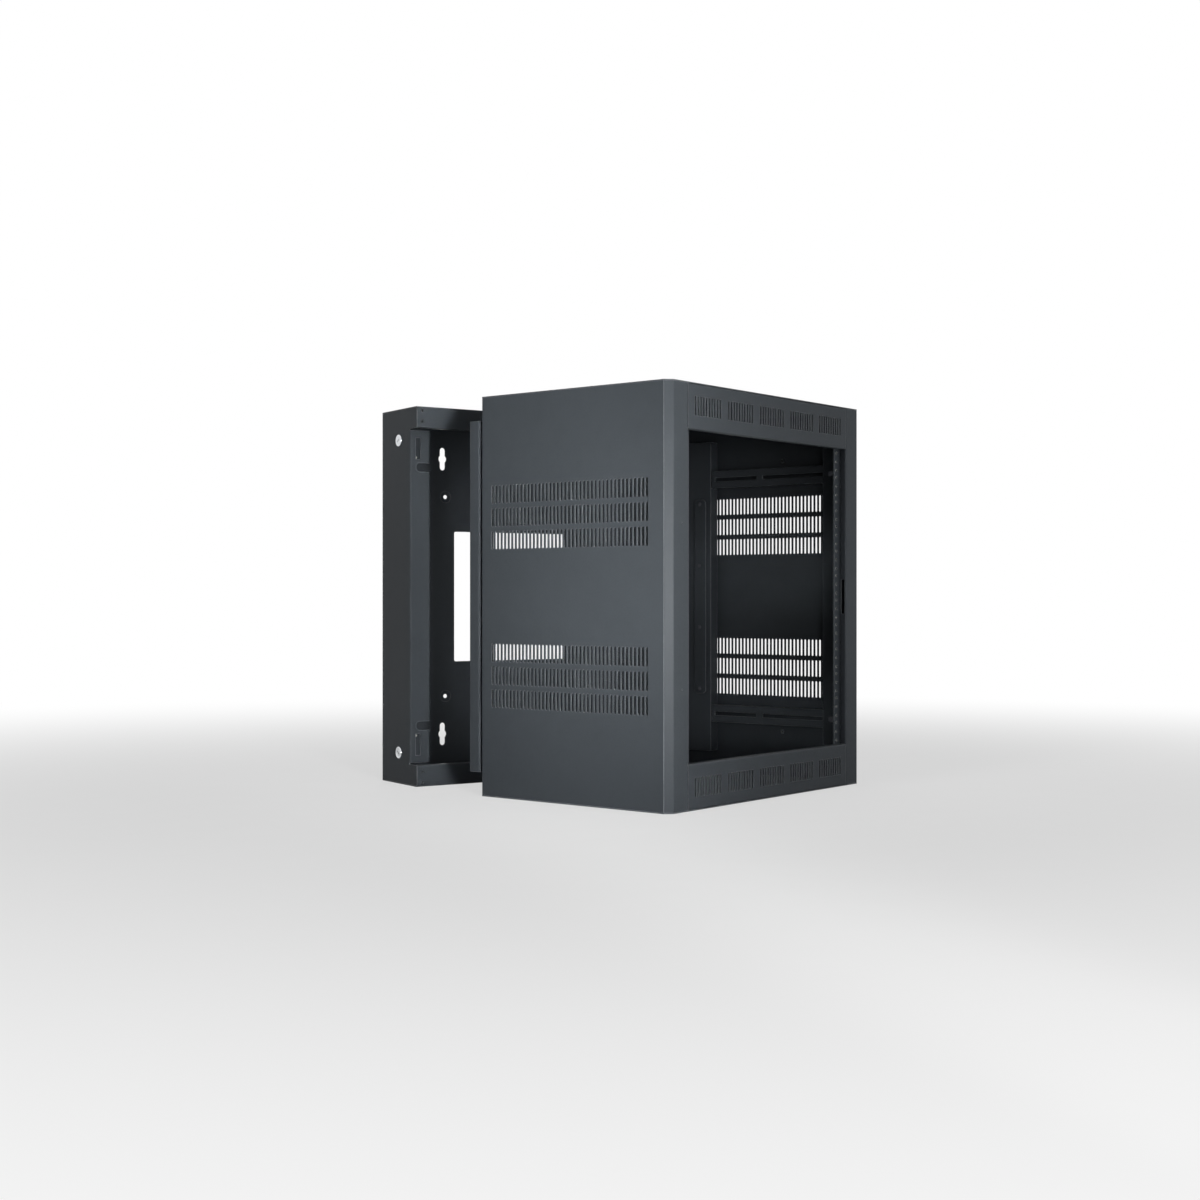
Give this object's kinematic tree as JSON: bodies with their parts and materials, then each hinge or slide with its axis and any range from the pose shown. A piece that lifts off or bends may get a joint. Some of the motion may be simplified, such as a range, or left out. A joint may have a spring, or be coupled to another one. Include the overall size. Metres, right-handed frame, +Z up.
{
  "type": "wall mount network cabinet",
  "caption": "Swing-out 19-inch wall rack: a vented centre section on hinges, cam locked to a shallow wall section with a cable opening.",
  "frame": {"origin": "centre of the four wall holes, on the wall face of the wall section", "axes": "+X to the right as seen from the front, +Y into the wall, +Z up"},
  "size_m": [0.7103, 0.7036, 0.686],
  "materials": {
    "charcoal_powder_coat": "fine-texture satin powder coat",
    "bright_chrome": "polished",
    "zinc_plate": "bright zinc",
    "black_zinc": "black zinc"
  },
  "bodies": {
    "wall_section": {"hinge_leaf_wall_bottom": "charcoal_powder_coat", "hinge_leaf_wall_top": "charcoal_powder_coat", "hinge_pin_bottom": "zinc_plate", "hinge_pin_top": "zinc_plate", "hinge_screws_wall": "zinc_plate", "lock_bodies": "bright_chrome", "lock_nuts": "zinc_plate", "wall_back_plate": "charcoal_powder_coat", "wall_cap_bottom": "charcoal_powder_coat", "wall_cap_top": "charcoal_powder_coat", "wall_side_left": "charcoal_powder_coat", "wall_side_right": "charcoal_powder_coat"},
    "centre_section": {"bottom_panel": "charcoal_powder_coat", "depth_channel_lower_left": "charcoal_powder_coat", "depth_channel_lower_right": "charcoal_powder_coat", "depth_channel_upper_left": "charcoal_powder_coat", "depth_channel_upper_right": "charcoal_powder_coat", "front_rail_bottom": "charcoal_powder_coat", "front_rail_top": "charcoal_powder_coat", "front_stile_left": "charcoal_powder_coat", "front_stile_right": "charcoal_powder_coat", "hinge_leaf_cabinet_bottom": "charcoal_powder_coat", "hinge_leaf_cabinet_top": "charcoal_powder_coat", "hinge_screws_cabinet": "zinc_plate", "post_plate_right": "charcoal_powder_coat", "post_screws_right": "black_zinc", "rear_channel_left": "charcoal_powder_coat", "rear_channel_right": "charcoal_powder_coat", "rear_post_right": "charcoal_powder_coat", "rear_rail_bottom": "charcoal_powder_coat", "rear_rail_top": "charcoal_powder_coat", "side_panel_left": "charcoal_powder_coat", "side_panel_right": "charcoal_powder_coat", "top_panel": "charcoal_powder_coat", "wall_inserts_left": "zinc_plate", "wall_inserts_right": "zinc_plate"},
    "upper_lock": {"lock_cam_upper": "zinc_plate", "lock_plug_upper": "bright_chrome", "lock_screw_upper": "zinc_plate"},
    "lower_lock": {"lock_cam_lower": "zinc_plate", "lock_plug_lower": "bright_chrome", "lock_screw_lower": "zinc_plate"},
    "left_rail": {"rack_rail_left": "charcoal_powder_coat", "rail_bolts_left": "black_zinc", "rail_nuts_left": "black_zinc"},
    "right_rail": {"rack_rail_right": "charcoal_powder_coat", "rail_bolts_right": "black_zinc", "rail_nuts_right": "black_zinc"}
  },
  "joints": [
    {"name": "cabinet_swing", "type": "hinge", "parent": "wall_section", "child": "centre_section", "pos_m": [0.2985, -0.143, 0], "axis": [0, 0, 1], "range_deg": [-17.7, 77.3]},
    {"name": "upper_lock_turn", "type": "hinge", "parent": "wall_section", "child": "upper_lock", "pos_m": [-0.294, -0.07, 0.286], "axis": [1, 0, 0], "range_deg": [-43, 47]},
    {"name": "lower_lock_turn", "type": "hinge", "parent": "wall_section", "child": "lower_lock", "pos_m": [-0.294, -0.07, -0.286], "axis": [-1, 0, 0], "range_deg": [-43, 47]},
    {"name": "left_rail_slide", "type": "slide", "parent": "centre_section", "child": "left_rail", "axis": [-0.304, 0.9527, 0], "range_m": [0, 0.14]},
    {"name": "right_rail_slide", "type": "slide", "parent": "centre_section", "child": "right_rail", "axis": [-0.304, 0.9527, 0], "range_m": [0, 0.14]}
  ]
}
